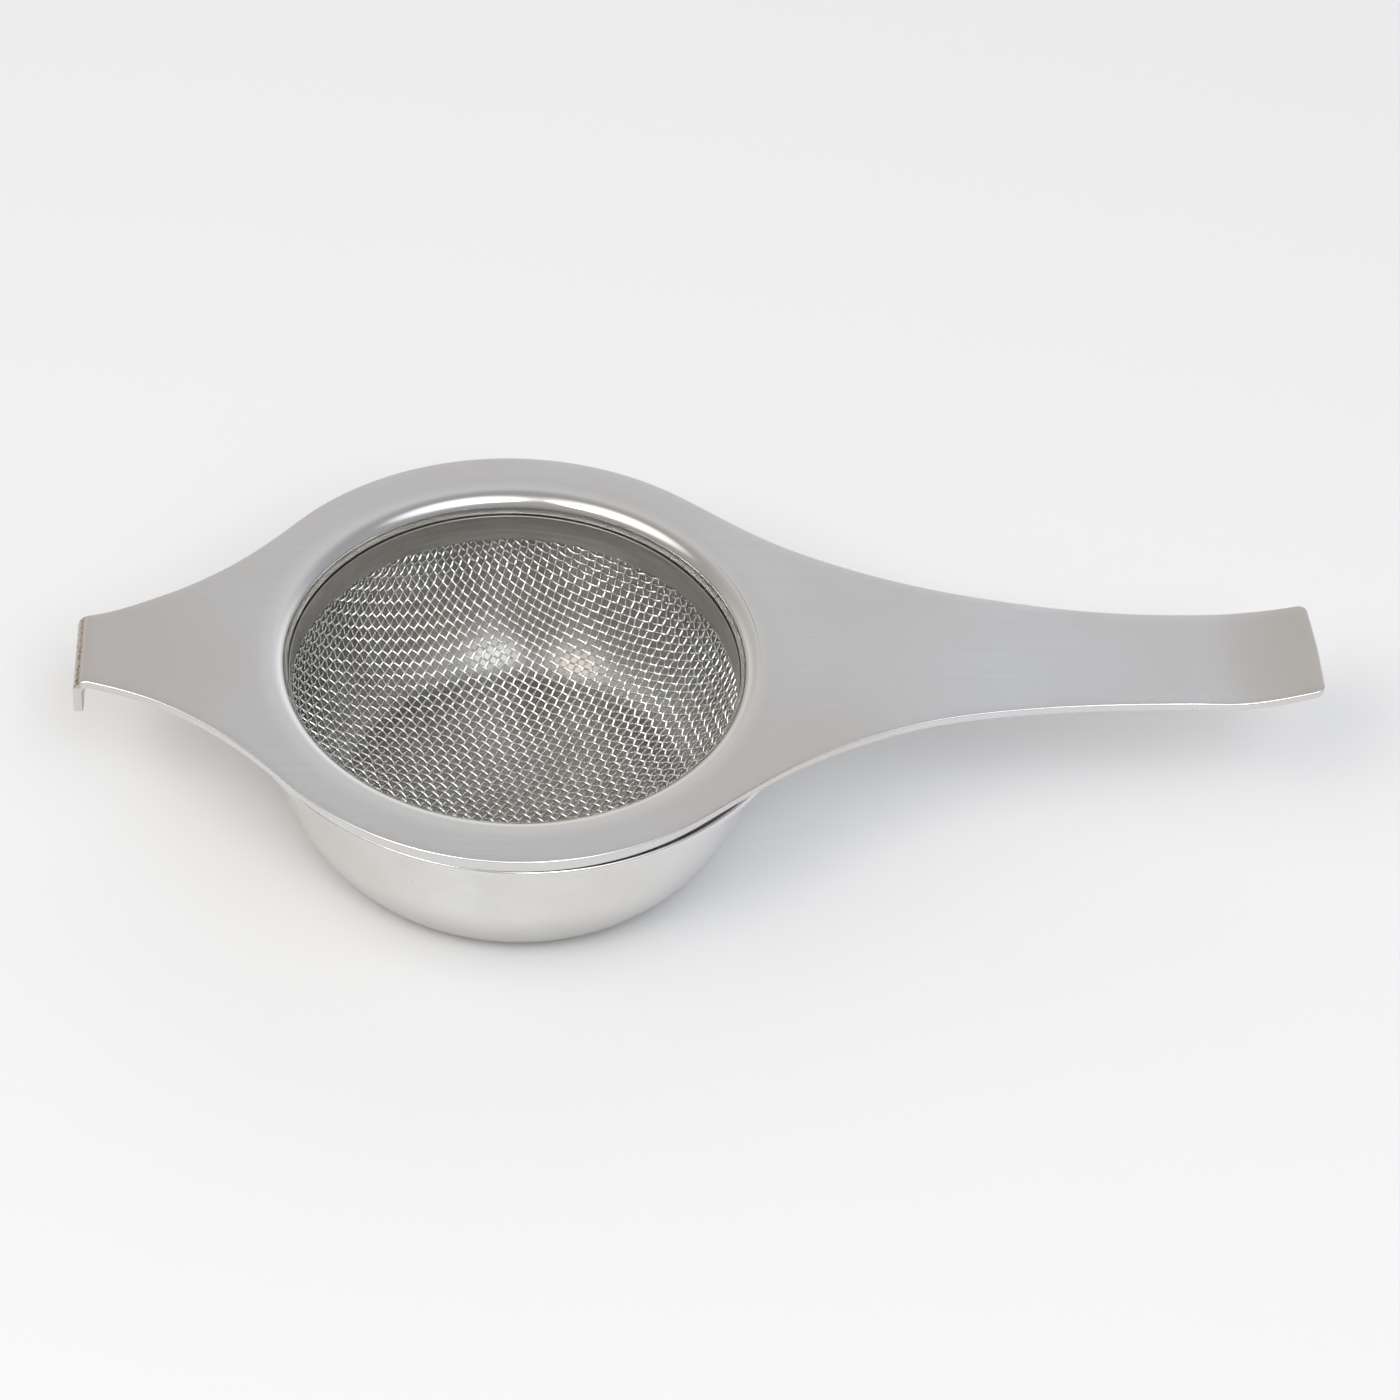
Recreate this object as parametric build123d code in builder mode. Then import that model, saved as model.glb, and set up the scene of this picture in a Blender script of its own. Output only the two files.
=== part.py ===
"""Tea strainer resting on its drip bowl: four pieces, millimetres, +Z up.

The origin is the centre of the bowl's flat foot, on the table. X runs along the handle, from the
hook at -X to the turned-up end at +X. The strainer's own axis is the line at x = sit_x.
"""

import os
from math import cos, radians, sin

from build123d import *

# ---- drip bowl
flange_r = 37.1  # outer radius of the bowl's flat flange
flange_top = 26.1  # height of the flange's top face
sheet_bowl = 1.1  # bowl sheet
wall_r = 33.3  # outer radius at the top of the bowl's wall
foot_r = 22.3  # radius of the flat foot
wall_h = 25.3  # height over which the wall curves in to the foot
flange_bend = 0.9  # radius where the flange turns into the wall

# ---- strainer plate
sit_x = -0.6  # the strainer rests this far off the bowl's axis, inside its loose fit
plate_top = 28.4  # height of the plate's top face above the table
sheet = 1.2  # plate sheet
disc_r = 37.5  # outer radius of the disc
lip_round = 2.35  # radius of the polished lip that rolls into the opening
lip_r = 29.2  # inner radius of the lip
lip_drop = 2.8  # the lip's inner face ends this far below the plate's top
neck_drop = 7.6  # the neck ends this far below the plate's top
neck_wall = 0.55  # neck sheet below the lip, where it was drawn thin
seat_in, seat_out = 33.9, 35.7  # bead under the disc that rests on the flange
edge_depth = 1.75  # depth of the disc's turned edge at its middle, front and back
edge_in = 36.3  # inner radius of the turned edge
edge_curve = 590  # radius of the slow curve that fades the turned edge towards the handles

# ---- hook tab, at -X
hook_x = -56.3  # outer face of the hook's lip
hook_drop = 4.5  # the lip hangs this far below the plate's underside
hook_bend = 1.9  # outer radius of the hook's bend
hook_half = 6.5  # half width of the hook

# ---- long handle, at +X
tip_x = 104.0  # end of the turned-up tip
tip_half = 8.15  # half width at the end
tip_rise = 2.1  # the end's top edge stands this far above the disc
waist_x, waist_half = 87.0, 8.4  # narrowest place
tip_corner = 1.3  # corner radius at the end
tab_leave = 139.5  # angle round the disc where the tab's side leaves it
handle_leave = 53.0  # angle round the disc where the handle's side leaves it

# ---- retaining ring and wire-cloth basket
ring_in, ring_out = 28.9, 29.2
ring_high, ring_low = 2.85, 7.2  # below the plate's top
cloth_in, cloth_out = 29.3, 29.65  # radii of the cloth's upright edge
cloth_high = 3.05  # the upright edge ends this far below the plate's top
dome_depth = 17.2  # depth of the dome below the ring
dome_skin = 0.4  # thickness that stands in for the woven cloth at the bottom

strainer = Plane((sit_x, 0, plate_top))
strainer_side = Plane(origin=(sit_x, 0, plate_top), x_dir=(1, 0, 0), z_dir=(0, -1, 0))
strainer_axis = Axis((sit_x, 0, 0), (0, 0, 1))
bowl_side = Plane.XZ


def on_disc(angle):
    """Point on the disc's edge."""
    return (disc_r * cos(radians(angle)), disc_r * sin(radians(angle)))


def along_disc(angle):
    """Direction of the disc's edge, anticlockwise."""
    return (-sin(radians(angle)), cos(radians(angle)))


# ---- strainer_plate: side view of the bent sheet, then its plan outline
bend_in = hook_bend - sheet
hook_end = -sheet - hook_drop
wave = [(24, 0), (49, 0.42), (86, -0.27), (94, -0.05), (97, 0.42), (tip_x, tip_rise)]
wave_under = [(x, z - sheet) for x, z in wave]
wave_ends = [(1, 0), (1, 0.27)]

with BuildPart() as strainer_plate:
    with BuildSketch(strainer_side):
        with BuildLine():
            Line((hook_x + sheet, hook_end), (hook_x, hook_end))
            Line((hook_x, hook_end), (hook_x, -hook_bend))
            CenterArc((hook_x + hook_bend, -hook_bend), hook_bend, 90, 90)
            Line((hook_x + hook_bend, 0), wave[0])
            Spline(*wave, tangents=wave_ends)
            Line(wave[-1], wave_under[-1])
            Spline(*wave_under, tangents=wave_ends)
            Line(wave_under[0], (hook_x + hook_bend, -sheet))
            CenterArc((hook_x + hook_bend, -hook_bend), bend_in, 90, 90)
            Line((hook_x + sheet, -hook_bend), (hook_x + sheet, hook_end))
        make_face()
    extrude(amount=disc_r + 2, both=True)
    with BuildSketch(strainer.offset(-10)):
        with BuildLine():
            Line((hook_x - 1, 0), (hook_x - 1, hook_half))
            Line((hook_x - 1, hook_half), (hook_x + hook_bend, hook_half))
            Spline(
                (hook_x + hook_bend, hook_half),
                (-46, 9.6),
                (-38.4, 14.5),
                on_disc(tab_leave),
                tangents=[(1, 0.28), tuple(-v for v in along_disc(tab_leave))],
            )
            CenterArc((0, 0), disc_r, handle_leave, tab_leave - handle_leave)
            Spline(
                on_disc(handle_leave),
                (36.5, 19.7),
                (51.3, 13.1),
                (67, 9.75),
                (waist_x, waist_half),
                tangents=[tuple(-v for v in along_disc(handle_leave)), (1, 0)],
            )
            Line((waist_x, waist_half), (94, 8.5))
            Line((94, 8.5), (tip_x, tip_half))
            Line((tip_x, tip_half), (tip_x, 0))
            mirror(about=Plane.XZ)
        make_face()
    extrude(amount=15, mode=Mode.INTERSECT)
    tip_edges = strainer_plate.edges().filter_by(Axis.Z).group_by(Axis.X)[-1]
    fillet(tip_edges, tip_corner)
    # opening, with its lip and neck
    with BuildSketch(strainer.offset(1)):
        Circle(lip_r + lip_round)
    extrude(amount=-5, mode=Mode.SUBTRACT)
    with BuildSketch(strainer_side):
        with BuildLine():
            neck_out = lip_r + sheet
            step_r = neck_out - neck_wall
            CenterArc((lip_r + lip_round, -lip_round), lip_round, 90, 90)
            Polyline(
                (lip_r, -lip_round),
                (lip_r, -lip_drop),
                (step_r, -lip_drop),
                (step_r, -neck_drop),
                (neck_out, -neck_drop),
                (neck_out, -lip_round),
            )
            CenterArc((lip_r + lip_round, -lip_round), lip_round - sheet, 90, 90)
            Line((lip_r + lip_round, -sheet), (lip_r + lip_round, 0))
        make_face()
    revolve(axis=strainer_axis)
    # bead that rests on the bowl's flange
    with BuildSketch(strainer.offset(flange_top - plate_top)):
        Circle(seat_out)
        Circle(seat_in, mode=Mode.SUBTRACT)
    extrude(until=Until.NEXT)

# the disc's turned edge, deepest at the front and back, fading towards tab and handle
with BuildPart() as turned_edge:
    with BuildSketch(strainer.offset(-edge_depth)):
        Circle(disc_r)
        Circle(edge_in, mode=Mode.SUBTRACT)
    extrude(amount=edge_depth - sheet / 2)
    with Locations((sit_x, 0, plate_top - edge_depth + edge_curve)):
        Cylinder(edge_curve, 4 * disc_r, rotation=(90, 0, 0), mode=Mode.INTERSECT)

with strainer_plate:
    add(turned_edge.part)
strainer_plate.part.label = "strainer_plate"

# ---- retaining_ring: thin band inside the neck
with BuildPart() as retaining_ring:
    with BuildSketch(strainer.offset(-ring_low)):
        Circle(ring_out)
        Circle(ring_in, mode=Mode.SUBTRACT)
    extrude(amount=ring_low - ring_high)
retaining_ring.part.label = "retaining_ring"

# ---- mesh_basket: upright edge caught behind the ring, then the pressed dome
with BuildPart() as mesh_basket:
    with BuildSketch(strainer_side):
        with BuildLine():
            Line((cloth_in, -ring_low), (cloth_in, -cloth_high))
            Line((cloth_in, -cloth_high), (cloth_out, -cloth_high))
            Line((cloth_out, -cloth_high), (cloth_out, -ring_low))
            EllipticalCenterArc((0, -ring_low), cloth_out, dome_depth + dome_skin, 270)
            Line((0, -ring_low - dome_depth - dome_skin), (0, -ring_low - dome_depth))
            EllipticalCenterArc((0, -ring_low), cloth_in, dome_depth, 270)
        make_face()
    revolve(axis=strainer_axis)
mesh_basket.part.label = "mesh_basket"

# ---- drip_bowl: curved wall with a flat foot, and a flat flange round its mouth
with BuildPart() as drip_bowl:
    with BuildSketch(bowl_side):
        with BuildLine():
            Line((0, sheet_bowl), (0, 0))
            Line((0, 0), (foot_r, 0))
            EllipticalCenterArc((foot_r, wall_h), wall_r - foot_r, wall_h, 270)
            Line((wall_r, wall_h), (wall_r, flange_top))
            Line((wall_r, flange_top), (wall_r - sheet_bowl, flange_top))
            Line((wall_r - sheet_bowl, flange_top), (wall_r - sheet_bowl, wall_h))
            EllipticalCenterArc(
                (foot_r, wall_h), wall_r - foot_r - sheet_bowl, wall_h - sheet_bowl, 270
            )
            Line((foot_r, sheet_bowl), (0, sheet_bowl))
        make_face()
    revolve(axis=Axis.Z)
    with BuildSketch(Plane.XY.offset(flange_top - sheet_bowl)):
        Circle(flange_r)
        Circle(wall_r - sheet_bowl / 2, mode=Mode.SUBTRACT)
    extrude(amount=sheet_bowl)
    mouth = drip_bowl.faces().filter_by(Plane.XY).sort_by(Axis.Z)[-1].inner_wires()[0].edges()
    fillet(mouth, flange_bend)
drip_bowl.part.label = "drip_bowl"

os.makedirs("parts", exist_ok=True)
export_step(strainer_plate.part, "parts/strainer_plate.step")
export_step(mesh_basket.part, "parts/mesh_basket.step")
export_step(retaining_ring.part, "parts/retaining_ring.step")
export_step(drip_bowl.part, "parts/drip_bowl.step")
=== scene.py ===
"""Tea strainer on its drip bowl: the visual model, in the part's own frame, in metres.

Sizes below are millimetres. Strainer pieces are drawn about the strainer's own axis with z = 0 on
the plate's top, and put into the frame by to_frame(). The anchors come from the CAD nodes' boxes.
"""

import math

import bmesh
import bpy
import numpy as np
from mathutils import Matrix, Vector
from mathutils.geometry import delaunay_2d_cdt


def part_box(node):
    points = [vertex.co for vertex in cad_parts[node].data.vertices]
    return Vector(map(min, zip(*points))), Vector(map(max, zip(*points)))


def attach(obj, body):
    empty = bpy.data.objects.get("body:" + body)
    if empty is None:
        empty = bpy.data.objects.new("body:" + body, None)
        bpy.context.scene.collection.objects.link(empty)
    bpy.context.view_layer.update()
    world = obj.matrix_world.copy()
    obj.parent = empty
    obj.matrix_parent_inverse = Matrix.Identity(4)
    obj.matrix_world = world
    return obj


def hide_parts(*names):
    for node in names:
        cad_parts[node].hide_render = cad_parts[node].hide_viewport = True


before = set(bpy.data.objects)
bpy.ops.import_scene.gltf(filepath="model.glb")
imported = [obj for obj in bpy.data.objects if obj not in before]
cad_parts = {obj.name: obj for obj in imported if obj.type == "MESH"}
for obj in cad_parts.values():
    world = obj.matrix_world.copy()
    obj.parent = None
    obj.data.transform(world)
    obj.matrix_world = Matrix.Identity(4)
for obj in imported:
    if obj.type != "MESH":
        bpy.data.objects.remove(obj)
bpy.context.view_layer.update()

MM = 0.001
TURN = 2 * math.pi

# ---- anchors from the CAD nodes
ring_lo, ring_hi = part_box("retaining_ring")
plate_lo, plate_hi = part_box("strainer_plate")
cloth_lo, cloth_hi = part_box("mesh_basket")
bowl_lo, bowl_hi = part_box("drip_bowl")
RING_TOP_DROP = 2.85  # the ring's top below the plate's top
SIT_X = (ring_lo.x + ring_hi.x) / 2 / MM
PLATE_TOP = ring_hi.z / MM + RING_TOP_DROP
RING_OUT = (ring_hi.x - ring_lo.x) / 2 / MM
RING_LOW = PLATE_TOP - ring_lo.z / MM
DISC_R = plate_hi.y / MM
HOOK_X = plate_lo.x / MM - SIT_X
TIP_X = plate_hi.x / MM - SIT_X
CLOTH_R = (cloth_hi.x - cloth_lo.x) / 2 / MM
CLOTH_TOP = PLATE_TOP - cloth_hi.z / MM
CLOTH_BOTTOM = PLATE_TOP - cloth_lo.z / MM
FLANGE_R = bowl_hi.x / MM
FLANGE_TOP = bowl_hi.z / MM

# ---- plate
SHEET = 1.2
HOOK_BEND, HOOK_DROP, HOOK_HALF = 1.9, 4.5, 6.5
TAPER, TAPER_RUN = 0.085, 9.0  # the back edge of the tab closes in towards the hook
LIP_R, LIP_ROUND, LIP_DROP = 29.2, 2.35, 2.8
DIP, DIP_FROM = 0.1, 34.4
NECK_DROP, NECK_WALL = 7.6, 0.55
SEAT_IN, SEAT_OUT = 33.9, 35.7
EDGE_DEPTH, EDGE_IN, EDGE_CURVE = 1.75, 36.3, 590
TOP_ROUND, UNDER_ROUND = 0.24, 0.2  # worn edges of the sheet
TAB_LEAVE, HANDLE_LEAVE = 139.5, 53.0
BEND_X = HOOK_X + HOOK_BEND  # the hook's bend starts here
HOOK_CORNER, LIP_CORNER = 0.8, 0.12
BEAD_FLARE, BEAD_CORNER = 0.3, 0.25
EDGE_FADE = 0.4  # the turned edge is gone this far off the disc
# painted warm reflections: places where the sheet's colour is warmed, centre and reach
PAINTED_WARM_REFLECTIONS = (((-54, 0, PLATE_TOP), 22), ((33, -24, PLATE_TOP), 24), ((101, 0, PLATE_TOP), 16))
TAB_SIDE = [(-46, 9.6), (-38.4, 14.5)]  # places on the outline's back half, from hook to tip
HANDLE_SIDE = [(36.5, 19.7), (51.3, 13.1), (67, 9.75)]
WAIST, PAST_WAIST = (87.0, 8.4), (94, 8.5)
TIP_HALF, TIP_CORNER = 8.15, 1.3
SKEW, SKEW_RUN = 0.45, 6.0  # the end's back corner stands back by this much
WAVE = [(24, 0), (49, 0.42), (86, -0.27), (94, -0.05), (97, 0.42), (TIP_X, 2.1)]
TURNS = 288  # steps round every turned piece
OUTLINE_STEP = 0.7  # between the outline's points
TOP_SPACING, UNDER_SPACING = 1.3, 1.6  # between the points that fill the two faces
HOOK_SPACING = 0.35  # between the rows of points over the hook's bend
OFF_OPENING, OFF_RIM = 0.6, 0.45  # inner points stay this far off the opening and the outline
UNDER_LAP = 0.12  # the underside starts this far in behind the turned edge


def to_frame(points):
    """Strainer millimetres to metres in the frame."""
    return (np.asarray(points, float) + [SIT_X, 0, PLATE_TOP]) * MM


def make_object(name, verts, faces, body, material):
    """A smooth-shaded piece that rides on a body and fills a material slot."""
    mesh = bpy.data.meshes.new(name)
    mesh.from_pydata([tuple(v) for v in verts], [], [tuple(f) for f in faces])
    mesh.validate()
    mesh.update()
    mesh.polygons.foreach_set("use_smooth", [True] * len(mesh.polygons))
    obj = bpy.data.objects.new(name, mesh)
    bpy.context.scene.collection.objects.link(obj)
    mesh.materials.append(material)
    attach(obj, body)
    return obj


def lathe(profile, closed=False, wobble=None):
    """Turns an (r, z) profile round z. Returns vertices and quads. A point with r = 0 is a pole."""
    verts, faces, rows = [], [], []
    for k, (r, z) in enumerate(profile):
        if r < 1e-6:
            rows.append([len(verts)] * TURNS)
            verts.append((0, 0, z))
            continue
        rows.append(list(range(len(verts), len(verts) + TURNS)))
        for a in range(TURNS):
            t = TURN * a / TURNS
            dr, dz = wobble(k, t) if wobble else (0, 0)
            verts.append(((r + dr) * math.cos(t), (r + dr) * math.sin(t), z + dz))
    pairs = list(zip(rows, rows[1:]))
    if closed:
        pairs.append((rows[-1], rows[0]))
    for low, high in pairs:
        for a in range(TURNS):
            b = (a + 1) % TURNS
            ring = [low[a], low[b], high[b], high[a]]
            face = [v for n, v in enumerate(ring) if v not in ring[:n]]
            if len(face) > 2:
                faces.append(face)
    return verts, faces


def arc(cx, cz, radius, start, end, steps):
    """Points on a circle in (r, z), angles in degrees."""
    return [
        (cx + radius * math.cos(math.radians(a)), cz + radius * math.sin(math.radians(a)))
        for a in np.linspace(start, end, steps)
    ]


def smooth_curve(points, ends, step):
    """A smooth curve through the points, with unit end directions, at about that step."""
    p = np.asarray(points, float)
    chord = np.linalg.norm(np.diff(p, axis=0), axis=1)
    slopes = np.zeros_like(p)
    for k in range(1, len(p) - 1):
        before, after = (p[k] - p[k - 1]) / chord[k - 1], (p[k + 1] - p[k]) / chord[k]
        slopes[k] = (before * chord[k] + after * chord[k - 1]) / (chord[k] + chord[k - 1])
    for k, d in ((0, ends[0]), (-1, ends[1])):
        slopes[k] = np.asarray(d, float) / np.linalg.norm(d)
    out = []
    for k, c in enumerate(chord):
        n = max(2, int(round(c / step)))
        for t in np.arange(n) / n:
            h = [2 * t**3 - 3 * t**2 + 1, t**3 - 2 * t**2 + t, -2 * t**3 + 3 * t**2, t**3 - t**2]
            from_here = h[0] * p[k] + h[1] * c * slopes[k]
            out.append(from_here + h[2] * p[k + 1] + h[3] * c * slopes[k + 1])
    out.append(p[-1])
    return np.array(out)


# ---- materials -------------------------------------------------------------------------------

NOISE_LOW, NOISE_HIGH = 0.3, 0.7  # most of a noise lies between these
# places in metres, each where a change begins and where it ends
POLISH_ENDS = (0.0312, 0.0336)  # from the axis, out past the lip
FOOT_SHADE = (0.0, 0.013)  # painted shade, up the bowl's outside
LEFT_PAINTED_SHADE, RIGHT_PAINTED_SHADE = (-0.036, -0.008), (0.006, 0.030)  # painted shade along x on the bowl, warm on the left and bluish on the right
# the hook's brown line, in millimetres below the plate's top, and past the start of the bend
LINE_LOW, LINE_HIGH, LINE_IN = (1.3, 1.0), (0.4, 0.2), (1.0, 0.7)
BRUSHED_DARK, BRUSHED_LIGHT = (0.70, 0.70, 0.705), (0.73, 0.73, 0.735)
# the second colour here is the tint of the painted warm reflections
CLOUDED, WARM_REFLECTION_TINT, POLISHED = (0.69, 0.67, 0.65), (0.675, 0.64, 0.61), (0.78, 0.77, 0.75)
# the first colour is the hook's brown line, the second its dark specks
BROWN_LINE, FLECK, NICK = (0.52, 0.43, 0.33), (0.12, 0.10, 0.08), (0.9, 0.9, 0.9)
BOWL_LIGHT, BOWL_DARK = (0.80, 0.80, 0.795), (0.73, 0.725, 0.71)
# painted shade: the inside's colours are darker than the outside's
INSIDE_PAINTED_SHADE_LIGHT, INSIDE_PAINTED_SHADE_DARK = (0.54, 0.53, 0.51), (0.44, 0.43, 0.405)
# the second colour is painted shade towards the bowl's foot
BOWL_PIT, BOWL_FOOT_PAINTED_SHADE = (0.30, 0.27, 0.23), (0.34, 0.325, 0.30)
# painted shade for the bowl's left and right
BOWL_LEFT_PAINTED_SHADE, BOWL_RIGHT_PAINTED_COOL_SHADE = (0.55, 0.525, 0.48), (0.73, 0.75, 0.79)
BAND_DARK, BAND_LIGHT = (0.35, 0.34, 0.315), (0.46, 0.445, 0.415)
WIRE_DARK, WIRE_LIGHT = (0.72, 0.71, 0.685), (0.82, 0.82, 0.81)
WARM_SHIFT = (1.0, 0.975, 0.93)  # turns a grey a little brown

class Nodes:
    """Short names for building a node tree."""

    def __init__(self, tree):
        self.tree = tree

    def add(self, kind, **props):
        node = self.tree.nodes.new(kind)
        for key, value in props.items():
            setattr(node, key, value)
        return node

    def link(self, out, socket):
        self.tree.links.new(out, socket)

    def feed(self, value, socket):
        """Links an output, or sets a number or colour."""
        if isinstance(value, bpy.types.NodeSocket):
            self.link(value, socket)
        else:
            socket.default_value = value

    def math(self, op, a, b=0.0):
        node = self.add("ShaderNodeMath", operation=op)
        self.feed(a, node.inputs[0])
        self.feed(b, node.inputs[1])
        return node.outputs[0]

    def spread(self, value, low, high, to_low, to_high, smooth=False):
        """The value's range low to high, stretched to another and held at its ends."""
        node = self.add("ShaderNodeMapRange")
        if smooth:
            node.interpolation_type = "SMOOTHSTEP"
        names = ("Value", "From Min", "From Max", "To Min", "To Max")
        for key, v in zip(names, (value, low, high, to_low, to_high)):
            self.feed(v, node.inputs[key])
        return node.outputs[0]

    def vary(self, noise, to_low, to_high):
        """A noise over its usual range, stretched to another."""
        return self.spread(noise, NOISE_LOW, NOISE_HIGH, to_low, to_high)

    def noise(self, vector, scale, detail=2.0, rough=0.5):
        node = self.add("ShaderNodeTexNoise")
        self.feed(vector, node.inputs["Vector"])
        node.inputs["Scale"].default_value = scale
        node.inputs["Detail"].default_value = detail
        node.inputs["Roughness"].default_value = rough
        return node.outputs["Fac"]

    def split(self, vector):
        node = self.add("ShaderNodeSeparateXYZ")
        self.feed(vector, node.inputs[0])
        return node.outputs

    def join(self, x, y, z):
        node = self.add("ShaderNodeCombineXYZ")
        for value, socket in zip((x, y, z), node.inputs):
            self.feed(value, socket)
        return node.outputs[0]

    def blend(self, fac, a, b):
        """Mix of two colours."""
        node = self.add("ShaderNodeMix", data_type="RGBA")
        self.feed(fac, node.inputs[0])
        for value, socket in ((a, node.inputs[6]), (b, node.inputs[7])):
            self.feed(value if isinstance(value, bpy.types.NodeSocket) else (*value, 1), socket)
        return node.outputs[2]

    def mix(self, fac, a, b):
        """Mix of two numbers."""
        node = self.add("ShaderNodeMix", data_type="FLOAT")
        for value, socket in zip((fac, a, b), (node.inputs[0], node.inputs[2], node.inputs[3])):
            self.feed(value, socket)
        return node.outputs[0]

    def bump(self, height, distance, strength, after=None):
        node = self.add("ShaderNodeBump")
        node.inputs["Strength"].default_value = strength
        node.inputs["Distance"].default_value = distance
        self.feed(height, node.inputs["Height"])
        if after is not None:
            self.link(after, node.inputs["Normal"])
        return node.outputs[0]


class Surface(Nodes):
    """A material's node tree, with places in the object's own space."""

    def __init__(self, name):
        self.mat = bpy.data.materials.new(name)
        self.mat.use_nodes = True
        super().__init__(self.mat.node_tree)
        self.shader = self.tree.nodes["Principled BSDF"]
        self.place = self.add("ShaderNodeTexCoord").outputs["Object"]

    def polar(self, centre_x):
        """(radius, angle) about the upright line at that x, in metres and radians."""
        x, y, _ = self.split(self.place)
        dx = self.math("SUBTRACT", x, centre_x)
        square = self.math("ADD", self.math("MULTIPLY", dx, dx), self.math("MULTIPLY", y, y))
        return self.math("SQRT", square), self.math("ARCTAN2", y, dx)

    def grain(self, along, across):
        """Noise stretched into lines along X."""
        x, y, z = self.split(self.place)
        x, y = self.math("MULTIPLY", x, along), self.math("MULTIPLY", y, across)
        return self.noise(self.join(x, y, z), 1.0, 3.0, 0.6)

    def steel(self, colour, roughness, normal=None):
        """Makes it bare metal and returns the material."""
        self.shader.inputs["Metallic"].default_value = 1.0
        self.link(colour, self.shader.inputs["Base Color"])
        self.link(roughness, self.shader.inputs["Roughness"])
        if normal is not None:
            self.link(normal, self.shader.inputs["Normal"])
        return self.mat


def plate_material():
    """Sheet brushed along the handles, polished at the opening's lip, with a few fine nicks and
    patches of painted warm reflection.
    """
    n = Surface("brushed_plate")
    x, _, z = n.split(n.place)
    radius, _ = n.polar(SIT_X * MM)
    grain = n.grain(90.0, 5600.0)
    streak = n.grain(22.0, 1300.0)
    cloud = n.noise(n.place, 42.0, 3.0, 0.55)
    polish = n.spread(radius, *POLISH_ENDS, 1.0, 0.0, smooth=True)
    rough = n.math("ADD", n.vary(grain, 0.25, 0.34), n.vary(cloud, -0.02, 0.03))
    rough = n.mix(polish, rough, n.vary(cloud, 0.10, 0.17))
    tint = n.blend(n.vary(streak, 0.0, 1.0), BRUSHED_DARK, BRUSHED_LIGHT)
    tint = n.blend(n.spread(cloud, 0.35, 0.65, 0.0, 0.65), tint, CLOUDED)
    # painted warm reflection: the sheet's colour is warmed round each place
    for centre, reach in PAINTED_WARM_REFLECTIONS:
        away = n.add("ShaderNodeVectorMath", operation="DISTANCE")
        n.link(n.place, away.inputs[0])
        away.inputs[1].default_value = tuple(v * MM for v in centre)
        near = n.spread(away.outputs["Value"], 0.3 * reach * MM, reach * MM, 0.75, 0.0, smooth=True)
        tint = n.blend(near, tint, WARM_REFLECTION_TINT)
    tint = n.blend(polish, tint, POLISHED)
    # a speckled brown line along the hook's bend
    above = n.spread(z, *((PLATE_TOP - d) * MM for d in LINE_LOW), 0.0, 1.0)
    below = n.spread(z, *((PLATE_TOP - d) * MM for d in LINE_HIGH), 1.0, 0.0)
    at_hook = n.spread(x, *((SIT_X + BEND_X - d) * MM for d in LINE_IN), 1.0, 0.0)
    colouring = n.math("MULTIPLY", n.math("MULTIPLY", above, below), at_hook)
    tint = n.blend(n.math("MULTIPLY", colouring, 0.75), tint, BROWN_LINE)
    fleck = n.spread(n.noise(n.place, 2600.0, 2.0, 0.6), 0.52, 0.60, 0.0, 0.8)
    tint = n.blend(n.math("MULTIPLY", colouring, fleck), tint, FLECK)
    nick = n.noise(n.place, 1500.0, 1.0, 0.5)
    tint = n.blend(n.spread(nick, 0.80, 0.84, 0.0, 0.8), tint, NICK)
    dull = n.math("SUBTRACT", 1.0, polish)
    normal = n.bump(n.math("MULTIPLY", grain, dull), 0.00002, 0.45)
    normal = n.bump(n.math("MULTIPLY", cloud, dull), 0.0003, 0.2, after=normal)
    return n.steel(tint, rough, normal)


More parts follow.
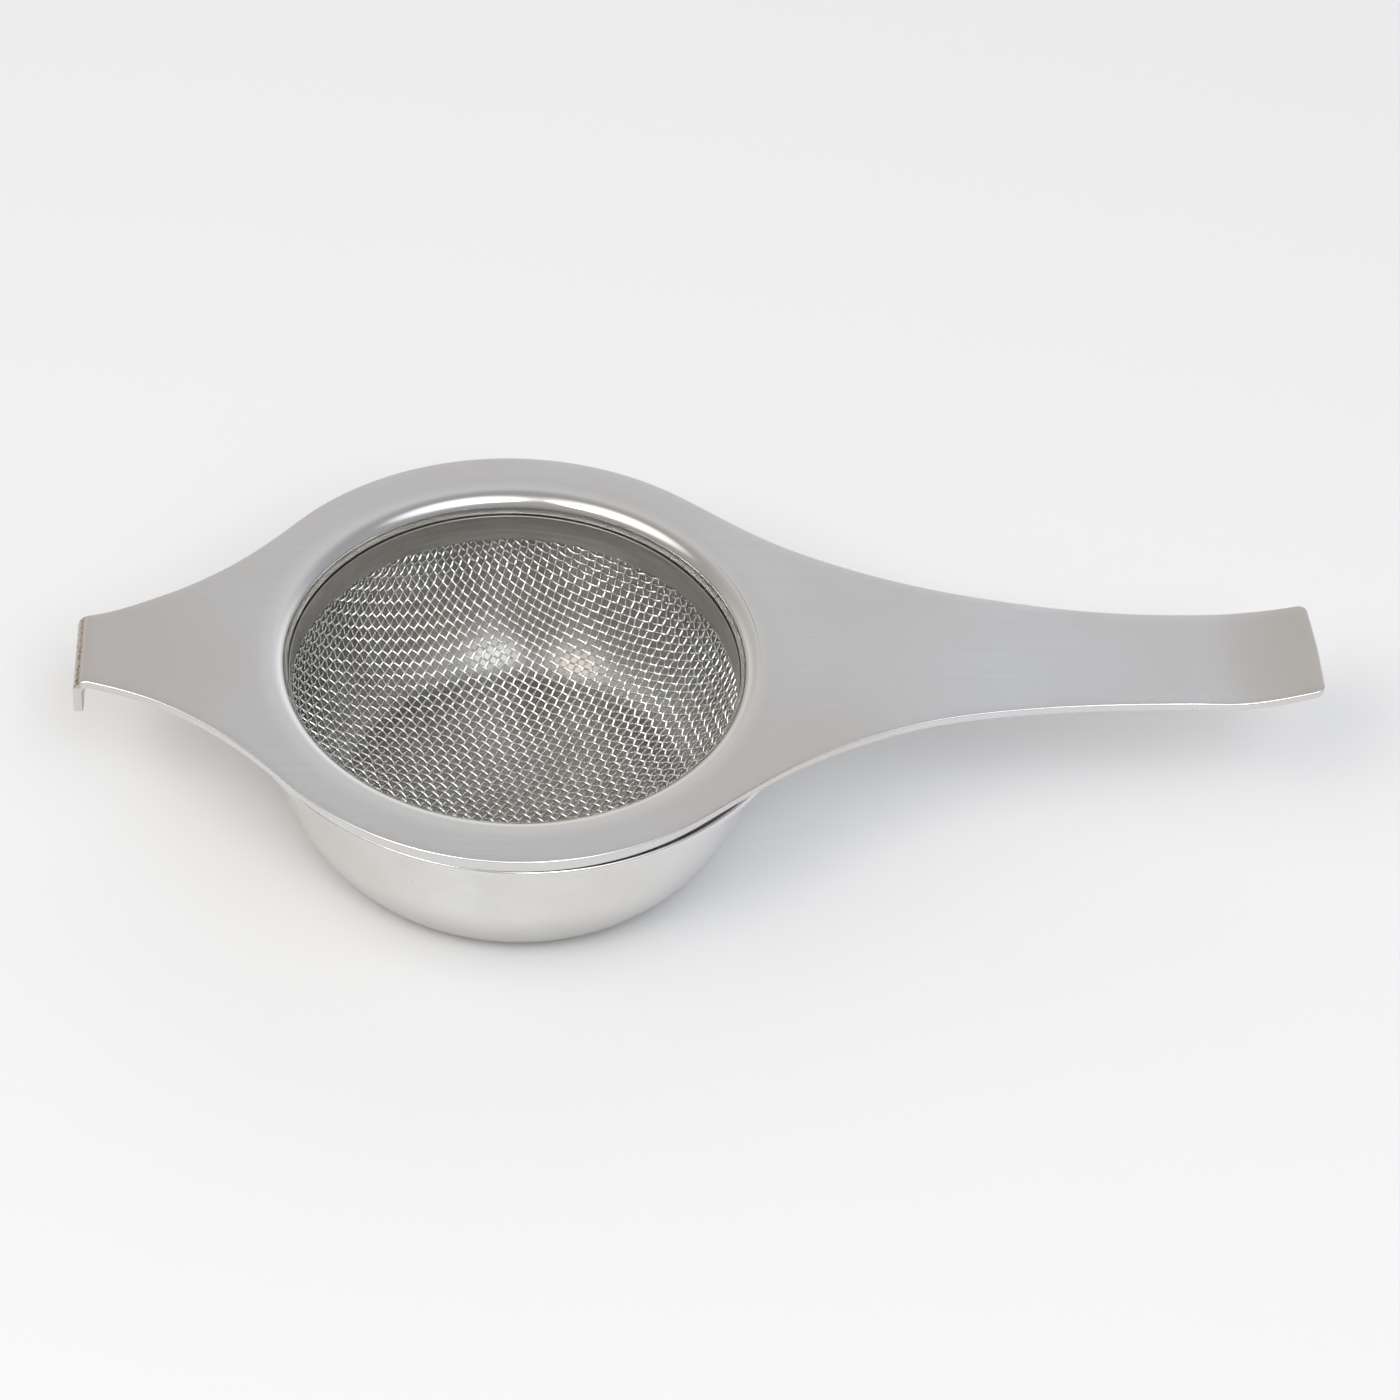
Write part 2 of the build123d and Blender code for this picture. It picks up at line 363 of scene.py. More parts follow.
def bowl_material(name, light, dark, rough_low, rough_high, spun=0.0):
    """Soft satin sheet with faint mottling, fine pits and hair-fine marks round it; painted shade
    darkens its left, cools its right and, outside, darkens its foot.
    """
    n = Surface(name)
    if spun:  # the marks of turning stretch its highlights towards the middle
        n.shader.inputs["Anisotropic"].default_value = spun
        n.shader.inputs["Anisotropic Rotation"].default_value = 0.25
        tangent = n.add("ShaderNodeTangent", direction_type="RADIAL", axis="Z")
        n.link(tangent.outputs[0], n.shader.inputs["Tangent"])
    radius, angle = n.polar(0.0)
    x, _, z = n.split(n.place)
    mottle = n.noise(n.place, 150.0, 4.0, 0.62)
    patch = n.noise(n.place, 45.0, 3.0, 0.55)
    speck = n.noise(n.place, 1100.0, 2.0, 0.5)
    fine_z, fine_radius = n.math("MULTIPLY", z, 2600.0), n.math("MULTIPLY", radius, 900.0)
    around = n.join(n.math("MULTIPLY", angle, 2.0), fine_z, fine_radius)
    rub = n.noise(around, 1.0, 2.0, 0.5)
    rough = n.vary(mottle, rough_low, rough_high)
    rough = n.math("ADD", rough, n.vary(rub, -0.02, 0.03))
    tint = n.blend(n.spread(mottle, 0.35, 0.65, 0.0, 1.0), dark, light)
    warm = tuple(c * k for c, k in zip(dark, WARM_SHIFT))
    tint = n.blend(n.spread(patch, 0.4, 0.65, 0.0, 0.7), tint, warm)
    tint = n.blend(n.spread(speck, 0.72, 0.80, 0.0, 0.5), tint, BOWL_PIT)
    if not spun:  # painted shade, darker towards the foot outside
        tint = n.blend(n.spread(z, *FOOT_SHADE, 0.85, 0.0, smooth=True), tint, BOWL_FOOT_PAINTED_SHADE)
    # painted shade: darker and warmer on the left, darker and bluish on the right
    tint = n.blend(n.spread(x, *LEFT_PAINTED_SHADE, 0.62, 0.0, smooth=True), tint, BOWL_LEFT_PAINTED_SHADE)
    tint = n.blend(n.spread(x, *RIGHT_PAINTED_SHADE, 0.0, 0.5, smooth=True), tint, BOWL_RIGHT_PAINTED_COOL_SHADE)
    normal = n.bump(speck, 0.00002, 0.35)
    normal = n.bump(mottle, 0.0001, 0.3, after=normal)
    return n.steel(tint, rough, normal)


def ring_material():
    """Dull unpolished band."""
    n = Surface("dull_band")
    _, angle = n.polar(SIT_X * MM)
    _, _, z = n.split(n.place)
    around = n.join(n.math("MULTIPLY", angle, 3.0), n.math("MULTIPLY", z, 1800.0), 0.0)
    streak = n.noise(around, 1.0, 3.0, 0.6)
    patch = n.noise(n.place, 260.0, 4.0, 0.6)
    rough = n.vary(patch, 0.36, 0.5)
    tint = n.blend(n.vary(streak, 0.0, 1.0), BAND_DARK, BAND_LIGHT)
    normal = n.bump(n.math("ADD", streak, patch), 0.00004, 0.4)
    return n.steel(tint, rough, normal)


def wire_material():
    """Bright drawn wire with a little tarnish."""
    n = Surface("wire_cloth")
    patch = n.noise(n.place, 220.0, 3.0, 0.6)
    fine = n.noise(n.place, 3200.0, 2.0, 0.5)
    rough = n.vary(fine, 0.09, 0.14)
    tint = n.blend(n.spread(patch, 0.35, 0.65, 0.0, 1.0), WIRE_DARK, WIRE_LIGHT)
    return n.steel(tint, rough)


plate_mat = plate_material()
bowl_mat = bowl_material("satin_bowl", BOWL_LIGHT, BOWL_DARK, 0.18, 0.26)
# the inside's darker colours are painted shade
bowl_inside_shaded_mat = bowl_material(
    "satin_bowl_inside", INSIDE_PAINTED_SHADE_LIGHT, INSIDE_PAINTED_SHADE_DARK, 0.29, 0.36, spun=0.85
)
ring_mat = ring_material()
wire_mat = wire_material()

# ---- strainer plate --------------------------------------------------------------------------

BEND_LENGTH = HOOK_BEND * math.pi / 2
LIP_LENGTH = SHEET + HOOK_DROP - HOOK_BEND
DEVELOPED_END = BEND_X - BEND_LENGTH - LIP_LENGTH  # the hook laid flat ends here
wave_curve = smooth_curve(WAVE, ((1, 0), (1, 0.27)), 0.5)


def smooth_step(t):
    """0 to 1 with level ends."""
    t = max(0.0, min(1.0, t))
    return t * t * (3 - 2 * t)


def dip(r):
    """How far the sheet sinks before it turns into the lip."""
    return DIP * max(0.0, min(1.0, (DIP_FROM - r) / (DIP_FROM - LIP_R - LIP_ROUND))) ** 2


def bend(u, y, w):
    """Point u along and y across the flat blank, w above its top face, on the bent sheet."""
    if y > 0:  # only the back edge closes in
        y *= 1 - TAPER * smooth_step((BEND_X + TAPER_RUN - u) / TAPER_RUN)
    if u >= BEND_X:
        z = np.interp(u, wave_curve[:, 0], wave_curve[:, 1], left=0.0)
        skew = SKEW * max(0.0, y / TIP_HALF) * smooth_step((u - TIP_X + SKEW_RUN) / SKEW_RUN)
        return (u - skew, y, z + w - dip(math.hypot(u, y)))
    turned = BEND_X - u
    if turned <= BEND_LENGTH:
        a, r = turned / HOOK_BEND, HOOK_BEND + w
        return (BEND_X - r * math.sin(a), y, -HOOK_BEND + r * math.cos(a))
    return (HOOK_X - w, y, -HOOK_BEND - (turned - BEND_LENGTH))


def disc_point(a):
    """Point on the disc's rim, angle in degrees."""
    return (DISC_R * math.cos(math.radians(a)), DISC_R * math.sin(math.radians(a)))


def disc_way(a):
    """Clockwise way along the rim there."""
    return (math.sin(math.radians(a)), -math.cos(math.radians(a)))


def upper_outline():
    """Back half of the flat blank's outline, from the hook round to the tip."""
    step, corner = OUTLINE_STEP, HOOK_CORNER
    pts = [(DEVELOPED_END, 0.0)]
    pts += [(DEVELOPED_END, y) for y in np.arange(step, HOOK_HALF - corner, step)]
    pts += arc(DEVELOPED_END + corner, HOOK_HALF - corner, corner, 180, 90, 7)
    pts += [(u, HOOK_HALF) for u in np.linspace(DEVELOPED_END + corner + 0.4, BEND_X - 0.2, 16)]
    tab = smooth_curve(
        [(BEND_X, HOOK_HALF), *TAB_SIDE, disc_point(TAB_LEAVE)],
        ((1, 0.28), disc_way(TAB_LEAVE)),
        step,
    )
    pts += [tuple(p) for p in tab[:-1]]
    steps = int(math.radians(TAB_LEAVE - HANDLE_LEAVE) * DISC_R / step)
    pts += arc(0, 0, DISC_R, TAB_LEAVE, HANDLE_LEAVE, steps)[:-1]
    side = smooth_curve(
        [disc_point(HANDLE_LEAVE), *HANDLE_SIDE, WAIST],
        (disc_way(HANDLE_LEAVE), (1, 0)),
        step,
    )
    pts += [tuple(p) for p in side[:-1]]
    end = smooth_curve(
        [WAIST, PAST_WAIST, (TIP_X - TIP_CORNER, TIP_HALF)],
        ((1, 0), (1, -0.05)),
        step,
    )
    pts += [tuple(p) for p in end[:-1]]
    pts += arc(TIP_X - TIP_CORNER, TIP_HALF - TIP_CORNER, TIP_CORNER, 90, 0, 9)
    pts += [(TIP_X, y) for y in np.arange(TIP_HALF - TIP_CORNER - step, step / 2, -step)]
    pts += [(TIP_X, 0.0)]
    return pts


half = upper_outline()
outline = np.array(half + [(u, -y) for u, y in half[-2:0:-1]])  # clockwise from the hook


def inward(points):
    """Unit directions into the blank at each outline point."""
    way = np.roll(points, -1, 0) - np.roll(points, 1, 0)
    way /= np.linalg.norm(way, axis=1)[:, None]
    return np.stack([way[:, 1], -way[:, 0]], 1)


into = inward(outline)


def edge_depth(point):
    """How far the turned edge hangs below the plate's top there."""
    crown = EDGE_DEPTH - point[0] ** 2 / (2 * EDGE_CURVE)
    off_disc = max(0.0, math.hypot(*point) - DISC_R)
    return SHEET + max(0.0, crown - SHEET) * max(0.0, 1 - off_disc / EDGE_FADE)


def edge_section(depth):
    """(inset, height) down the sheet's edge, with its two worn corners, then in under it."""
    s = [
        (TOP_ROUND * (1 - math.sin(a)), -TOP_ROUND * (1 - math.cos(a)))
        for a in np.linspace(0, math.pi / 2, 6)
    ]
    low = -depth + UNDER_ROUND
    s += [(0, (low - TOP_ROUND) / 2)]
    s += [
        (UNDER_ROUND * (1 - math.cos(a)), low - UNDER_ROUND * math.sin(a))
        for a in np.linspace(0, math.pi / 2, 5)
    ]
    inner = DISC_R - EDGE_IN
    s += [(inner, -depth), (inner + UNDER_LAP, -SHEET)]
    return s


def filled(boundary, hole_r, spacing):
    """Triangles over the blank inside the boundary and outside a circle: points and faces."""
    rim = [tuple(p) for p in boundary]
    turns = [TURN * a / TURNS for a in range(TURNS)]
    opening = [(hole_r * math.cos(t), hole_r * math.sin(t)) for t in turns]
    pts, edges = [], []
    for loop in (rim, opening):
        base = len(pts)
        pts += loop
        edges += [(base + k, base + (k + 1) % len(loop)) for k in range(len(loop))]
    px, py = np.array(rim).T
    qx, qy = np.roll(px, -1), np.roll(py, -1)

    def inside(u, v):
        cross = ((py > v) != (qy > v)) & (u < (qx - px) * (v - py) / (qy - py + 1e-12) + px)
        return cross.sum() % 2 == 1

    rows = list(np.arange(DEVELOPED_END + 0.5, BEND_X + 0.3, HOOK_SPACING))
    rows += list(np.arange(BEND_X + 1, TIP_X, spacing))
    for u in rows:
        for v in np.arange(-DISC_R, DISC_R, spacing):
            clear = math.hypot(u, v) >= hole_r + OFF_OPENING
            clear = clear and np.hypot(px - u, py - v).min() >= OFF_RIM
            if clear and inside(u, v):
                pts.append((u, v))
    verts, _, faces = delaunay_2d_cdt([Vector(p) for p in pts], edges, [], 0, 1e-6)[:3]
    good = []
    for f in faces:
        cx = sum(verts[i].x for i in f) / len(f)
        cy = sum(verts[i].y for i in f) / len(f)
        if math.hypot(cx, cy) >= hole_r * math.cos(math.pi / TURNS) - 1e-6 and inside(cx, cy):
            good.append(f)
    return [(v.x, v.y) for v in verts], good


def build_plate():
    """The bent sheet from its flat outline, with the lip, neck and bead turned round its axis."""
    verts, faces = [], []

    def put(new_verts, new_faces, flip=False):
        base = len(verts)
        verts.extend(new_verts)
        faces.extend([[base + i for i in (f[::-1] if flip else f)] for f in new_faces])

    hole = LIP_R + LIP_ROUND
    sections = [edge_section(edge_depth(p)) for p in outline]
    count, rows = len(outline), len(sections[0])
    grid = []
    for k, (p, d) in enumerate(zip(outline, into)):
        for inset, w in sections[k]:
            q = p + d * inset
            grid.append(bend(q[0], q[1], w))
    strip = []
    for k in range(count):
        m = (k + 1) % count
        for r in range(rows - 1):
            strip.append((k * rows + r, m * rows + r, m * rows + r + 1, k * rows + r + 1))
    put(grid, strip)
    top_pts, top_faces = filled(outline + into * TOP_ROUND, hole, TOP_SPACING)
    put([bend(u, v, 0) for u, v in top_pts], top_faces)
    low_rim = outline + into * (DISC_R - EDGE_IN + UNDER_LAP)
    low_pts, low_faces = filled(low_rim, hole, UNDER_SPACING)
    put([bend(u, v, -SHEET) for u, v in low_pts], low_faces, flip=True)
    neck_out, step_r = LIP_R + SHEET, LIP_R + SHEET - NECK_WALL
    lip = arc(hole, -LIP_ROUND, LIP_ROUND, 90, 180, 22)
    lip = [(r, z - DIP * (z + LIP_ROUND) / LIP_ROUND) for r, z in lip]
    lip += [(LIP_R, -LIP_DROP + LIP_CORNER), (LIP_R + LIP_CORNER, -LIP_DROP), (step_r, -LIP_DROP)]
    lip += [(step_r, -NECK_DROP), (neck_out, -NECK_DROP)]
    thin = LIP_ROUND - SHEET
    under = arc(hole, -LIP_ROUND, thin, 180, 90, 10)
    under = [(r, z - DIP * (z + LIP_ROUND) / thin) for r, z in under]
    put(*lathe(lip + under))
    seat = FLANGE_TOP - PLATE_TOP
    flare, corner = BEAD_FLARE, BEAD_CORNER
    bead = [(SEAT_IN - flare, -SHEET), (SEAT_IN, -SHEET - corner), (SEAT_IN, seat + corner)]
    bead += [(SEAT_IN + corner, seat), (SEAT_OUT - corner, seat), (SEAT_OUT, seat + corner)]
    bead += [(SEAT_OUT, -SHEET - corner), (SEAT_OUT + flare, -SHEET)]
    put(*lathe(bead))
    verts = to_frame(verts)
    obj = make_object("strainer_sheet", verts, faces, "strainer", plate_mat)
    work = bmesh.new()
    work.from_mesh(obj.data)
    bmesh.ops.remove_doubles(work, verts=work.verts, dist=2e-6)
    bmesh.ops.recalc_face_normals(work, faces=work.faces)
    work.to_mesh(obj.data)
    work.free()
    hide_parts("strainer_plate")


build_plate()

# ---- retaining ring --------------------------------------------------------------------------

RING_IN = 28.92
LEVEL_ROWS, RING_WAVE = 4, 0.04  # the profile's first rows are level, the rest rise and fall
RING_EDGE = 0.12  # the wavy edge's middle stands this far above the band's lowest place


def ring_wobble(row, t):
    """The band's lower edge is a little uneven."""
    if row < LEVEL_ROWS:
        return 0.0, 0.0
    waves = math.sin(37 * t) + math.sin(61 * t + 1.3) + 0.7 * math.sin(95 * t + 0.4)
    return 0.0, RING_WAVE * waves


band_profile = [
    (RING_OUT, -RING_TOP_DROP),
    (RING_IN + 0.09, -RING_TOP_DROP),
    (RING_IN + 0.025, -RING_TOP_DROP - 0.03),
    (RING_IN, -RING_TOP_DROP - 0.1),
    (RING_IN, -RING_LOW + 0.3),
    (RING_IN + 0.03, -RING_LOW + 0.15),
    (RING_IN + 0.1, -RING_LOW + RING_EDGE),
    (RING_OUT, -RING_LOW + RING_EDGE),
]
band_verts, band_faces = lathe(band_profile, closed=True, wobble=ring_wobble)
band_verts = to_frame(band_verts)
band = make_object("inner_band", band_verts, band_faces, "strainer", ring_mat)
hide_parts("retaining_ring")

# ---- woven wire cloth ------------------------------------------------------------------------

WIRE_R, PITCH = 0.165, 1.095
WIRE_SIDES, WIRE_STEPS = 6, 4  # sides of each tube, and rings of points from crossing to crossing
WEAVE_CLEAR = 1.03  # the wires just miss each other where they cross
WARP_TURN, WEFT_TURN = math.radians(-30.0), math.radians(61.0)
CLOTH_MID = CLOTH_R - 0.175  # middle of the weave inside the CAD's skin
DOME_DEEP = CLOTH_BOTTOM - RING_LOW - 0.2
NET_SPARE = 8  # crossings tried beyond the straight reach, as the net fans out


def meridian():
    """Arc length against (r, z) from the bottom of the dome up over the edge to the cloth's rim."""
    t = np.linspace(0, math.pi / 2, 500)
    r, z = CLOTH_MID * np.sin(t), -RING_LOW - DOME_DEEP * np.cos(t)
    r = np.append(r, CLOTH_MID)
    z = np.append(z, -CLOTH_TOP - 0.05)
    s = np.append(0, np.cumsum(np.hypot(np.diff(r), np.diff(z))))
    return s, r, z


MER_S, MER_R, MER_Z = meridian()


def on_cloth(uv):
    """Points on the cloth from (u, v): distance from the bottom along the meridian, and its way."""
    uv = np.asarray(uv, float)
    s = np.hypot(uv[..., 0], uv[..., 1])
    r, z = np.interp(s, MER_S, MER_R), np.interp(s, MER_S, MER_Z)
    k = np.where(s > 1e-9, r / np.maximum(s, 1e-9), 1.0)
    return np.stack([uv[..., 0] * k, uv[..., 1] * k, z], -1)


def meeting(a, b, guess):
    """The place one pitch from a and one from b, near the guess."""
    uv = np.array(guess, float)
    pa, pb = on_cloth(a), on_cloth(b)
    h = 1e-3
    for _ in range(8):
        three = on_cloth([uv, uv + [h, 0], uv + [0, h]])
        f = np.stack([((three - pa) ** 2).sum(1), ((three - pb) ** 2).sum(1)]) - PITCH**2
        jac = (f[:, 1:] - f[:, :1]) / h
        step = np.linalg.solve(jac, f[:, 0])
        uv = uv - step
        if abs(step).max() < 1e-5:
            break
    return uv


def weave_net():
    """Crossing places (i, j) of the draped cloth, each one pitch from its neighbours."""
    reach = int(MER_S[-1] / PITCH) + 1
    net = {(0, 0): np.zeros(2)}
    for turn, way in ((WARP_TURN, (1, 0)), (WEFT_TURN, (0, 1))):
        straight = np.array([math.cos(turn), math.sin(turn)])
        for sign in (1, -1):
            for k in range(1, reach + 1):
                s = k * PITCH * sign
                if abs(s) > MER_S[-1]:
                    break
                net[(way[0] * k * sign, way[1] * k * sign)] = straight * s
    for si in (1, -1):
        for sj in (1, -1):
            for i in range(1, reach + NET_SPARE):
                for j in range(1, reach + NET_SPARE):
                    a, b = ((i - 1) * si, j * sj), (i * si, (j - 1) * sj)
                    c = ((i - 1) * si, (j - 1) * sj)
                    if a not in net or b not in net or c not in net:
                        continue
                    try:
                        uv = meeting(net[a], net[b], net[a] + net[b] - net[c])
                    except np.linalg.LinAlgError:
                        continue
                    if np.hypot(*uv) < MER_S[-1] and np.hypot(*(uv - net[c])) > 0.3 * PITCH:
                        net[(i * si, j * sj)] = uv
    return net


def normals_at(uv):
    """Unit normals of the cloth, upwards and inwards."""
    h = 1e-2
    u = on_cloth(uv + [h, 0]) - on_cloth(uv - [h, 0])
    v = on_cloth(uv + [0, h]) - on_cloth(uv - [0, h])
    n = np.cross(u, v)
    return n / np.linalg.norm(n, axis=-1)[..., None]


def wires(net, along):
    """All the wires that run along i (0) or j (1), woven over and under, as tubes."""
    lines = {}
    for key, uv in net.items():
        lines.setdefault(key[1 - along], []).append((key[along], uv))
    verts, faces = [], []
    for fixed, items in sorted(lines.items()):
        items.sort(key=lambda item: item[0])
        runs, run = [], [items[0]]
        for item in items[1:]:
            if item[0] == run[-1][0] + 1:
                run.append(item)
            else:
                runs.append(run)
                run = [item]
        runs.append(run)
        for run in runs:
            if len(run) < 3:
                continue
            uv = np.array([q for _, q in run])
            first = run[0][0]
            t = np.arange(0, (len(run) - 1) * WIRE_STEPS + 1) / WIRE_STEPS
            k = np.minimum(t.astype(int), len(run) - 2)
            f = (t - k)[:, None]
            ghost = np.vstack([2 * uv[0] - uv[1], uv, 2 * uv[-1] - uv[-2]])
            p0, p1, p2, p3 = ghost[k], ghost[k + 1], ghost[k + 2], ghost[k + 3]
            bow, twist = 2 * p0 - 5 * p1 + 4 * p2 - p3, 3 * p1 - p0 - 3 * p2 + p3
            q = 0.5 * (2 * p1 + (p2 - p0) * f + bow * f**2 + twist * f**3)
            n = normals_at(q)
            over = np.cos(math.pi * (t + first + fixed)) * (1 if along == 0 else -1)
            line = on_cloth(q) + n * (WIRE_R * WEAVE_CLEAR * over)[:, None]
            way = np.gradient(line, axis=0)
            way /= np.linalg.norm(way, axis=1)[:, None]
            side = np.cross(way, n)
            side /= np.linalg.norm(side, axis=1)[:, None]
            up = np.cross(side, way)
            base = len(verts)
            for a in range(len(line)):
                for m in range(WIRE_SIDES):
                    g = TURN * m / WIRE_SIDES
                    verts.append(line[a] + WIRE_R * (math.cos(g) * up[a] + math.sin(g) * side[a]))
            for a in range(len(line) - 1):
                low, high = base + a * WIRE_SIDES, base + (a + 1) * WIRE_SIDES
                for m in range(WIRE_SIDES):
                    w = (m + 1) % WIRE_SIDES
                    faces.append((low + m, low + w, high + w, high + m))
            faces.append(tuple(base + m for m in reversed(range(WIRE_SIDES))))
            last = base + (len(line) - 1) * WIRE_SIDES
            faces.append(tuple(last + m for m in range(WIRE_SIDES)))
    return verts, faces


net = weave_net()
for along, name in ((0, "cloth_warp"), (1, "cloth_weft")):
    wire_verts, wire_faces = wires(net, along)
    cloth = make_object(name, to_frame(wire_verts), wire_faces, "strainer", wire_mat)
    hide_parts("mesh_basket")

# ---- drip bowl -------------------------------------------------------------------------------

BOWL_SHEET, WALL_R, FOOT_R, WALL_H, FLANGE_BEND = 1.1, 33.3, 22.3, 25.3, 0.9
BELOW_FLANGE, FLANGE_EDGE = 0.5, 0.3  # radii under the flange and at its two edges


def ellipse(cx, cz, a, b, start, end, steps):
    """Points on an ellipse in (r, z), angles in degrees."""
    return [
        (cx + a * math.cos(math.radians(t)), cz + b * math.sin(math.radians(t)))
        for t in np.linspace(start, end, steps)
    ]


def build_bowl():
    """The drawn bowl and its flange, with a second, darker material on the inside as painted shade.
    """
    low = FLANGE_TOP - BOWL_SHEET
    inner_r = WALL_R - BOWL_SHEET
    p = [(0, 0), (8, 0), (16, 0)]
    p += ellipse(FOOT_R, WALL_H, WALL_R - FOOT_R, WALL_H, 270, 358, 46)
    p += arc(WALL_R + BELOW_FLANGE, low - BELOW_FLANGE, BELOW_FLANGE, 180, 90, 6)
    p += arc(FLANGE_R - FLANGE_EDGE, low + FLANGE_EDGE, FLANGE_EDGE, 270, 360, 6)
    p += arc(FLANGE_R - FLANGE_EDGE, FLANGE_TOP - FLANGE_EDGE, FLANGE_EDGE, 0, 90, 6)
    p += arc(inner_r + FLANGE_BEND, FLANGE_TOP - FLANGE_BEND, FLANGE_BEND, 90, 180, 9)
    p += ellipse(FOOT_R, WALL_H, WALL_R - FOOT_R - BOWL_SHEET, WALL_H - BOWL_SHEET, 356, 270, 44)
    p += [(16, BOWL_SHEET), (8, BOWL_SHEET), (0, BOWL_SHEET)]
    verts, faces = lathe(p)
    obj = make_object("bowl_sheet", np.array(verts) * MM, faces, "bowl", bowl_mat)
    obj.data.materials.append(bowl_inside_shaded_mat)
    for face in obj.data.polygons:
        x, y, z = face.center / MM
        drop = (WALL_H - min(z, WALL_H)) / WALL_H
        outer = FOOT_R + (WALL_R - FOOT_R) * math.sqrt(max(0.0, 1 - drop**2))
        inside = z > BOWL_SHEET / 2 and math.hypot(x, y) < outer - BOWL_SHEET / 2
        face.material_index = 1 if inside else 0
    work = bmesh.new()
    work.from_mesh(obj.data)
    bmesh.ops.recalc_face_normals(work, faces=work.faces)
    work.to_mesh(obj.data)
    work.free()
    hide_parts("drip_bowl")


build_bowl()

# ---- floor, light, camera --------------------------------------------------------------------


def flat_material(name, colour, roughness):
    """Plain paint."""
    n = Surface(name)
    n.shader.inputs["Base Color"].default_value = (*colour, 1)
    n.shader.inputs["Roughness"].default_value = roughness
    return n.mat


bpy.ops.mesh.primitive_plane_add(size=24.0, location=(0, 0, 0))
floor = bpy.context.object
floor.name = "floor"
floor.data.materials.append(flat_material("floor_paint", (0.84, 0.84, 0.84), 0.9))

SKY_WARM, SKY_COOL = (1.0, 0.975, 0.94), (0.965, 0.985, 1.03)
HORIZON = (1.0, 0.93, 0.85)
# levels of the room: low to high in front, left to right behind, and at the floor
FRONT_LEVELS, BACK_LEVELS, BACK_LIFT, FLOOR_LEVEL = (0.44, 0.42), (0.60, 0.80), (1.3, 1.0), 0.60
GLOWS = ((148, 52), (-120, 52))  # where the room glows round the two panels
GLOW_EDGE, GLOW_CORE, GLOW_PEAK = 0.86, 0.995, 1.15  # cosines of the angle off, and the level


def toward(turn, rise):
    """Unit direction: turn clockwise from +Y seen from above, then up, in degrees."""
    turn, rise = math.radians(turn), math.radians(rise)
    flat = math.cos(rise)
    return Vector((math.sin(turn) * flat, math.cos(turn) * flat, math.sin(rise)))


def studio_sky():
    """A soft room: mid grey overhead, lighter behind and to the right, warm left, cool right."""
    world = bpy.data.worlds.new("studio")
    bpy.context.scene.world = world
    world.use_nodes = True
    n = Nodes(world.node_tree)
    x, y, z = n.split(n.add("ShaderNodeTexCoord").outputs["Generated"])
    side = n.spread(x, -0.4, 0.4, 0.0, 1.0, smooth=True)
    colour = n.blend(side, SKY_WARM, SKY_COOL)
    behind = n.spread(y, 0.1, 0.8, 0.0, 1.0, smooth=True)
    far = n.spread(side, 0.0, 1.0, *BACK_LEVELS)
    far = n.math("MULTIPLY", far, n.spread(z, 0.35, 0.6, *BACK_LIFT))
    level = n.mix(behind, n.spread(z, 0.2, 0.9, *FRONT_LEVELS), far)
    low = n.spread(z, 0.0, 0.30, FLOOR_LEVEL, 1.0, smooth=True)
    colour = n.blend(n.spread(z, 0.0, 0.16, 1.0, 0.0, smooth=True), colour, HORIZON)
    level = n.math("MULTIPLY", level, low)
    for turn, rise in GLOWS:
        near = n.add("ShaderNodeVectorMath", operation="DOT_PRODUCT")
        n.link(n.join(x, y, z), near.inputs[0])
        near.inputs[1].default_value = toward(turn, rise)
        glow = n.spread(near.outputs["Value"], GLOW_EDGE, GLOW_CORE, 0.0, GLOW_PEAK, smooth=True)
        level = n.math("ADD", level, glow)
    back = n.tree.nodes["Background"]
    n.link(colour, back.inputs["Color"])
    n.link(level, back.inputs["Strength"])


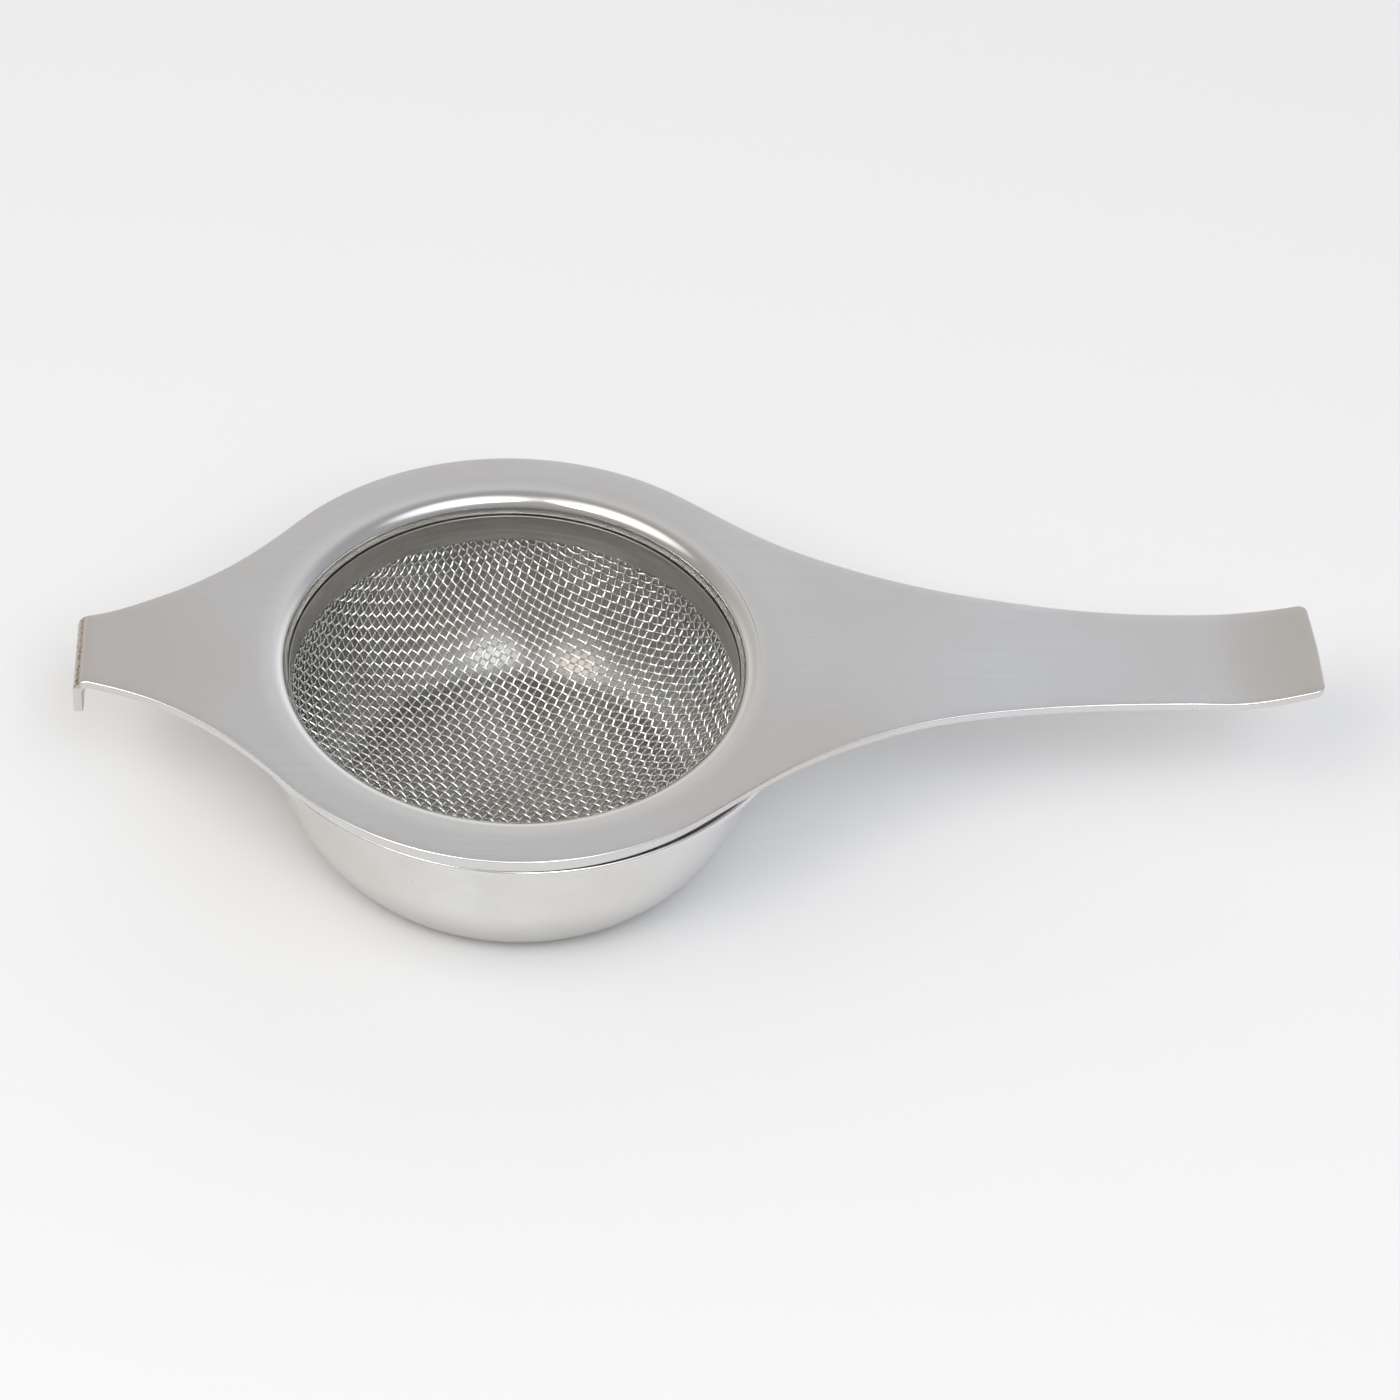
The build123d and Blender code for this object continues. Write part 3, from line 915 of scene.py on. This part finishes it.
def soft_box(name, turn, rise, away, size, radiance, colour):
    """A soft panel aimed at the object."""
    way = toward(turn, rise)
    data = bpy.data.lights.new(name, "AREA")
    data.shape = "RECTANGLE"
    data.size, data.size_y = size
    data.energy = radiance * math.pi * size[0] * size[1]
    data.color = colour
    obj = bpy.data.objects.new(name, data)
    obj.location = way * away
    obj.rotation_euler = way.to_track_quat("Z", "Y").to_euler()
    bpy.context.scene.collection.objects.link(obj)


studio_sky()
soft_box("window", 166, 50, 1.15, (0.34, 0.42), 7.1, (0.93, 0.97, 1.03))
soft_box("lamp", -142, 50, 1.15, (0.36, 0.42), 6.7, (1.02, 0.98, 0.93))
bpy.context.scene.view_settings.view_transform = "Standard"

# camera: angles in degrees, then millimetres, with the distance to the middle of the opening
TILT, ROLL, YAW = 44.34, 4.15, 5.18
DISTANCE, SENSOR, LENS = 573.4, 36.0, 114.66
ACROSS, DOWN = -0.041354564, -0.011056291  # that middle off the view's line, as tangents


def camera_pose():
    """The camera's matrix, aimed from the angles above."""
    tilt, roll, yaw = (math.radians(v) for v in (TILT, ROLL, YAW))
    ahead = Vector((0, math.cos(tilt), -math.sin(tilt)))
    flat_up = Vector((0, math.sin(tilt), math.cos(tilt)))
    right = math.cos(roll) * Vector((1, 0, 0)) + math.sin(roll) * flat_up
    up = -math.sin(roll) * Vector((1, 0, 0)) + math.cos(roll) * flat_up
    spot = -DISTANCE * (ACROSS * right - DOWN * up + ahead)
    turn = Matrix.Rotation(-yaw, 3, "Z")
    right, up, ahead, spot = turn @ right, turn @ up, turn @ ahead, turn @ spot
    spot = (spot + Vector((SIT_X, 0, PLATE_TOP))) * MM
    pose = Matrix((right, up, -ahead)).transposed().to_4x4()
    pose.translation = spot
    return pose


cam_data = bpy.data.cameras.new("camera")
cam_data.sensor_width = SENSOR
cam_data.lens = LENS
cam_data.clip_start, cam_data.clip_end = 0.05, 20.0
camera = bpy.data.objects.new("camera", cam_data)
bpy.context.scene.collection.objects.link(camera)
camera.matrix_world = camera_pose()
bpy.context.scene.camera = camera
